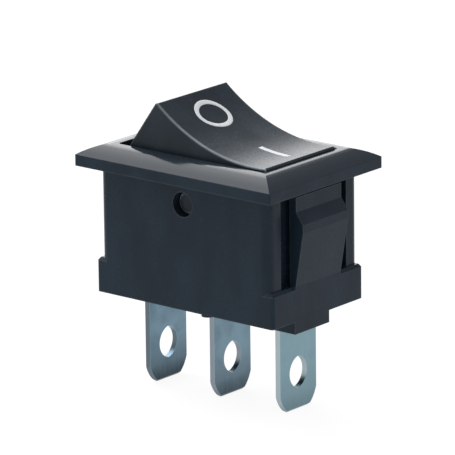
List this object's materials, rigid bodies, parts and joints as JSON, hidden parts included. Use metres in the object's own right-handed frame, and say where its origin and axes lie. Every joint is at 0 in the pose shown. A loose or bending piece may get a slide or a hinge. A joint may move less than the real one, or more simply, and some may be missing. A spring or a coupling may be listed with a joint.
{
  "type": "rocker switch",
  "caption": "Snap-in panel rocker switch with a dished rocker, crowned rectangular bezel, sprung latch arms and flat blade terminals in a row.",
  "frame": {"origin": "centre of the panel cut-out, on the underside of the bezel", "axes": "+Z out of the panel, towards the rocker; +X towards the end marked I, which is pressed at rest; Y across the switch"},
  "size_m": [0.021, 0.015, 0.0256],
  "materials": {
    "housing_nylon": "black moulded nylon, satin gloss",
    "rocker_nylon": "black moulded nylon, satin gloss",
    "legend_white": "white printed marking",
    "plunger_acetal": "natural acetal",
    "spring_steel": "bright spring wire",
    "bridge_copper": "stamped copper alloy strip",
    "contact_silver": "silver alloy rivet",
    "tinned_blade": "tinned brass strip, satin"
  },
  "bodies": {
    "housing": {"housing": "housing_nylon", "common_terminal": "tinned_blade", "throw_terminal_1": "tinned_blade", "throw_terminal_2": "tinned_blade", "fixed_contact_1": "contact_silver", "fixed_contact_2": "contact_silver"},
    "rocker": {"rocker": "rocker_nylon", "plunger_spring": "spring_steel"},
    "plunger": {"plunger": "plunger_acetal"},
    "contact_bridge": {"contact_bridge": "bridge_copper", "moving_contact_1": "contact_silver", "moving_contact_2": "contact_silver"}
  },
  "joints": [
    {"name": "rocker_tilt", "type": "hinge", "parent": "housing", "child": "rocker", "pos_m": [0, 0, -0.002], "axis": [0, -1, 0], "range_deg": [0, 36.6]},
    {"name": "bridge_tilt", "type": "hinge", "parent": "housing", "child": "contact_bridge", "pos_m": [0, 0, -0.008], "axis": [0, -1, 0], "range_deg": [-21.96, 0]},
    {"name": "plunger_slide", "type": "slide", "parent": "rocker", "child": "plunger", "axis": [0.314, 0, 0.9494], "range_m": [0, 0.0008], "stiffness_N_per_m": 200, "springref_m": -0.001, "deforming": ["plunger_spring"]}
  ],
  "couplings": [
    {"joint": "bridge_tilt", "follows": "rocker_tilt", "ratio": -0.6}
  ]
}
